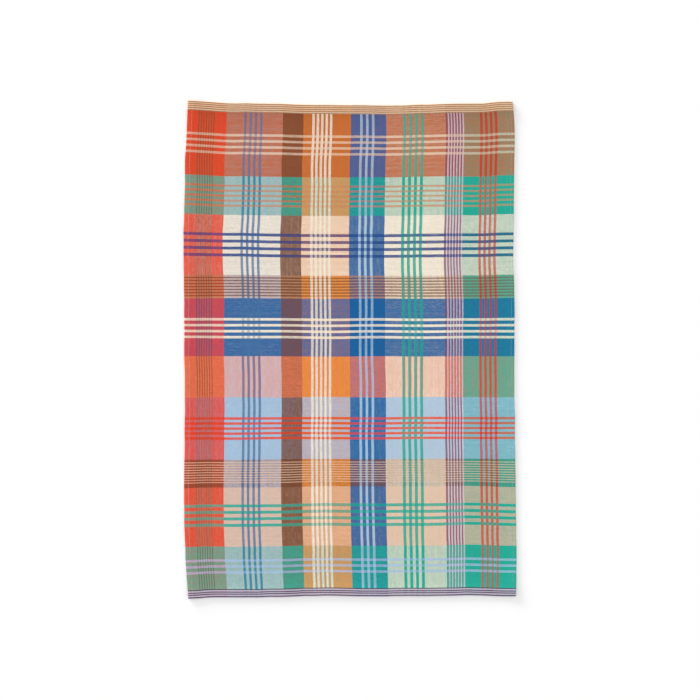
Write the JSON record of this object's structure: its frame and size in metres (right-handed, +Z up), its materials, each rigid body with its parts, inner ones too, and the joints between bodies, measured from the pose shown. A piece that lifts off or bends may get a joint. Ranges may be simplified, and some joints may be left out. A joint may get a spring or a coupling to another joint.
{
  "type": "tea towel",
  "caption": "Hemmed woven cotton tea towel, pressed and laid out flat, with gently uneven edges and flaring corners.",
  "frame": {"origin": "on the table, under the middle of the cloth's bounding box", "axes": "+X across the cloth to the right, +Y along its length to the upper end, +Z up from the table, out of its face"},
  "size_m": [0.4858, 0.7278, 0.0033],
  "materials": {
    "woven_cotton": "matt plain-woven cotton in a check of many colours, with narrow pinstriped end hems"
  },
  "bodies": {
    "root": {"cloth": "woven_cotton"}
  },
  "joints": []
}
